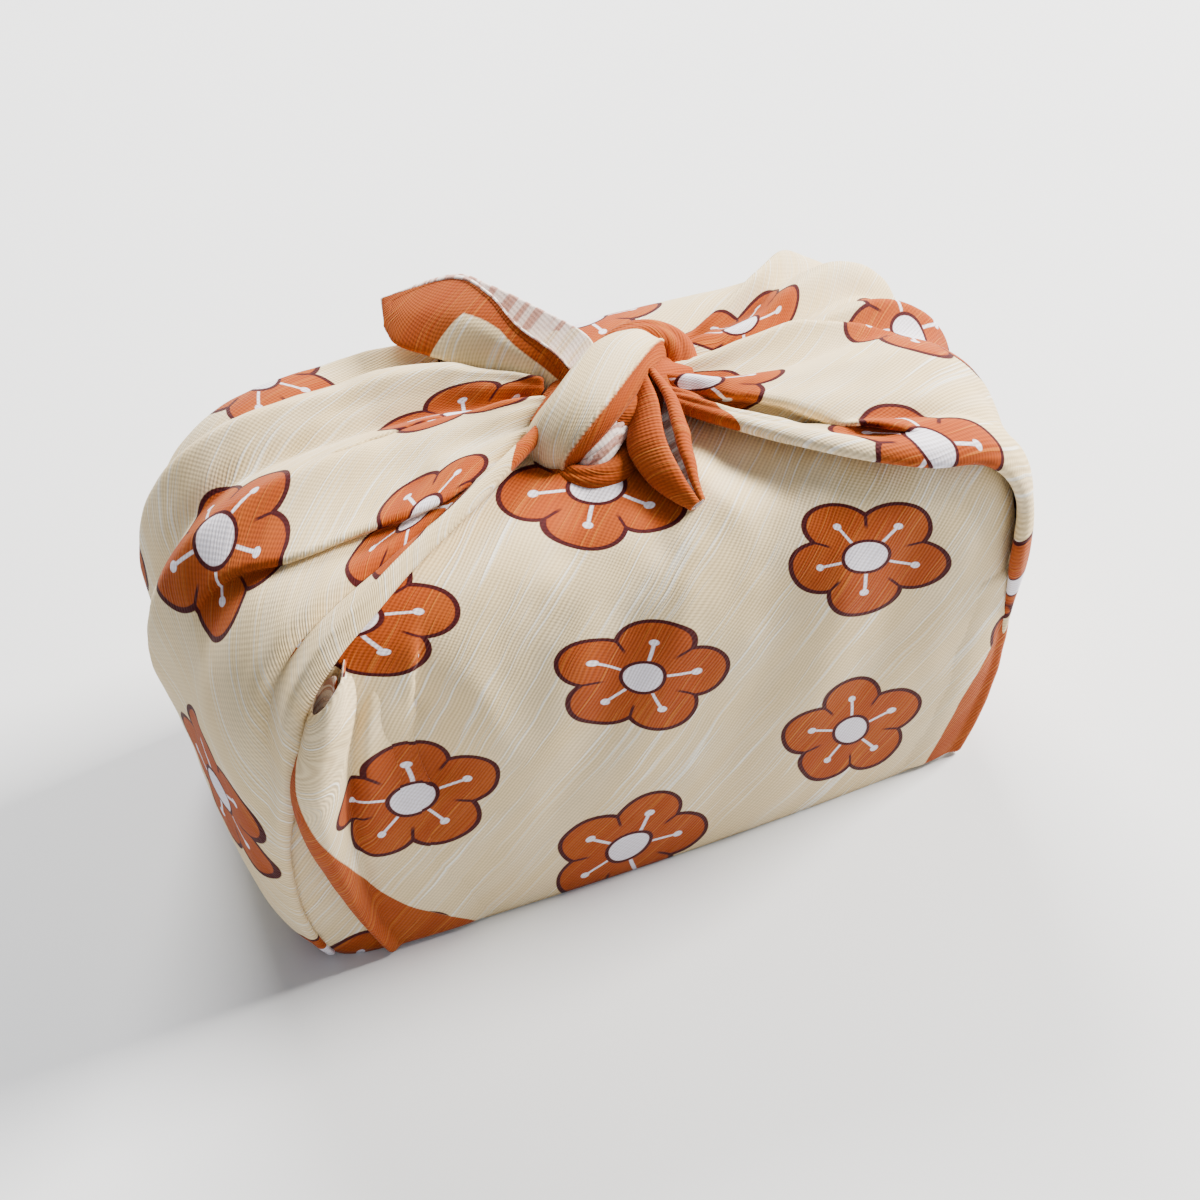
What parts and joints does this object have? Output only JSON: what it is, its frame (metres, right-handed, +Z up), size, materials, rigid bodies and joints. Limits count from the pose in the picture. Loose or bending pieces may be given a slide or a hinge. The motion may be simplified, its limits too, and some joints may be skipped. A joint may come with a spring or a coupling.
{
  "type": "furoshiki wrap",
  "caption": "Oblong bundle wrapped in one square of printed slub cloth, its side corners run in pleats over the top and knotted there with short free ends.",
  "frame": {"origin": "middle of the flat base, on the plane that the bundle stands on", "axes": "+X along the bundle, -Y out of its front long side, +Z up towards the knot"},
  "size_m": [0.1821, 0.091, 0.114],
  "materials": {
    "slub_cloth": "matte printed slub cotton"
  },
  "bodies": {
    "root": {"wrapping_cloth": "slub_cloth"}
  },
  "joints": []
}
